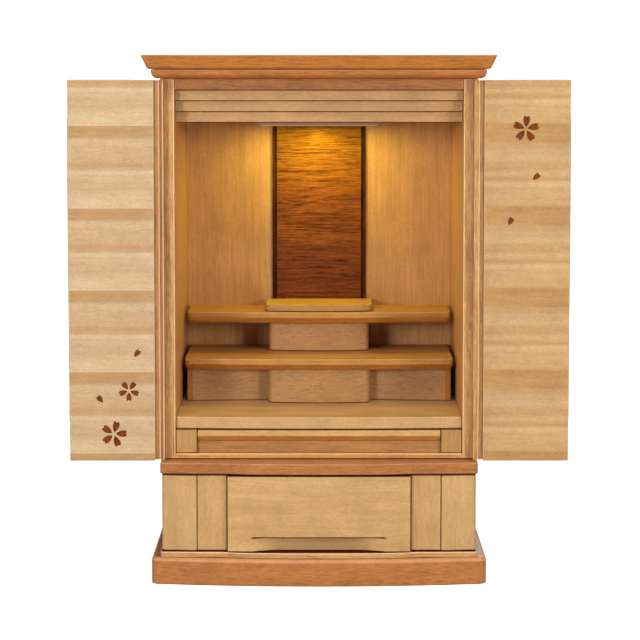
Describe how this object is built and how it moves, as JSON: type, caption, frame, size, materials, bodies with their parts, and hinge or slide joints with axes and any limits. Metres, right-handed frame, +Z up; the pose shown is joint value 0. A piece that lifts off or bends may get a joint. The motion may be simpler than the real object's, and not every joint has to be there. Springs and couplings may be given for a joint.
{
  "type": "household altar cabinet",
  "caption": "Tabletop wooden altar cabinet with bi-fold doors, stepped shelves, a pull-out tray, a bowed drawer, a moulded crown and a plinth.",
  "frame": {"origin": "on the underside of the plinth, on the centre line, 106 mm behind the front plane of the door posts", "axes": "+Z up, the front and the doors face -Y, +X to the viewer's right"},
  "size_m": [0.5914, 0.281, 0.6238],
  "materials": {
    "reddish_walnut": "satin lacquer",
    "walnut_brown": "satin lacquer",
    "light_ash": "satin lacquer",
    "honey_ash": "satin lacquer",
    "dark_rosewood": "semi-gloss lacquer",
    "plain_backing_wood": "plain, thinly sealed",
    "brass": "satin",
    "lamp_body": "matte",
    "lamp_lens": "frosted diffuser"
  },
  "bodies": {
    "root": {"apron_left": "light_ash", "apron_right": "light_ash", "back_board": "honey_ash", "base_back": "plain_backing_wood", "base_flank_left": "light_ash", "base_flank_right": "light_ash", "base_partition_left": "plain_backing_wood", "base_partition_right": "plain_backing_wood", "base_side_left": "walnut_brown", "base_side_right": "walnut_brown", "base_stile_left": "light_ash", "base_stile_right": "light_ash", "belt": "reddish_walnut", "block_lower": "light_ash", "block_upper": "light_ash", "ceiling": "honey_ash", "centre_panel": "dark_rosewood", "crown_board": "reddish_walnut", "crown_moulding": "reddish_walnut", "dais": "light_ash", "head_board_1": "light_ash", "head_board_2": "light_ash", "head_board_3": "light_ash", "lamp_bar": "lamp_body", "lamp_lens": "lamp_lens", "niche_floor": "light_ash", "panel_backing": "dark_rosewood", "plinth": "reddish_walnut", "plinth_fillet": "reddish_walnut", "post_left": "walnut_brown", "post_right": "walnut_brown", "shelf_lower": "light_ash", "shelf_upper": "light_ash", "side_panel_left": "walnut_brown", "side_panel_right": "walnut_brown", "sill": "reddish_walnut", "transom": "walnut_brown", "tray_guide_left": "light_ash", "tray_guide_right": "light_ash", "tray_rail": "walnut_brown"},
    "left_leaf": {"left_leaf_core": "walnut_brown", "left_leaf_facing": "light_ash", "left_pivot_rod": "brass", "left_hinge_outer": "brass"},
    "left_fold": {"left_fold_core": "walnut_brown", "left_fold_facing": "light_ash", "left_hinge_inner": "brass"},
    "right_leaf": {"right_leaf_core": "walnut_brown", "right_leaf_facing": "light_ash", "right_pivot_rod": "brass", "right_hinge_outer": "brass"},
    "right_fold": {"right_fold_core": "walnut_brown", "right_fold_facing": "light_ash", "right_hinge_inner": "brass"},
    "drawer": {"drawer_front": "light_ash", "drawer_bottom": "plain_backing_wood", "drawer_side_left": "light_ash", "drawer_side_right": "light_ash", "drawer_back": "light_ash"},
    "tray": {"tray_board": "light_ash"}
  },
  "joints": [
    {"name": "left_door_swing", "type": "hinge", "parent": "root", "child": "left_leaf", "pos_m": [-0.184, -0.1141, 0.3706], "axis": [0, 0, -1], "range_deg": [-180, 0]},
    {"name": "left_door_fold", "type": "hinge", "parent": "left_leaf", "child": "left_fold", "pos_m": [-0.294, -0.1063, 0.3706], "axis": [0, 0, -1], "range_deg": [-180, 0]},
    {"name": "right_door_swing", "type": "hinge", "parent": "root", "child": "right_leaf", "pos_m": [0.184, -0.1141, 0.3706], "axis": [0, 0, 1], "range_deg": [-180, 0]},
    {"name": "right_door_fold", "type": "hinge", "parent": "right_leaf", "child": "right_fold", "pos_m": [0.294, -0.1063, 0.3706], "axis": [0, 0, 1], "range_deg": [-180, 0]},
    {"name": "drawer_slide", "type": "slide", "parent": "root", "child": "drawer", "axis": [0, -1, 0], "range_m": [0, 0.15]},
    {"name": "tray_slide", "type": "slide", "parent": "root", "child": "tray", "axis": [0, -1, 0], "range_m": [0, 0.14]}
  ]
}
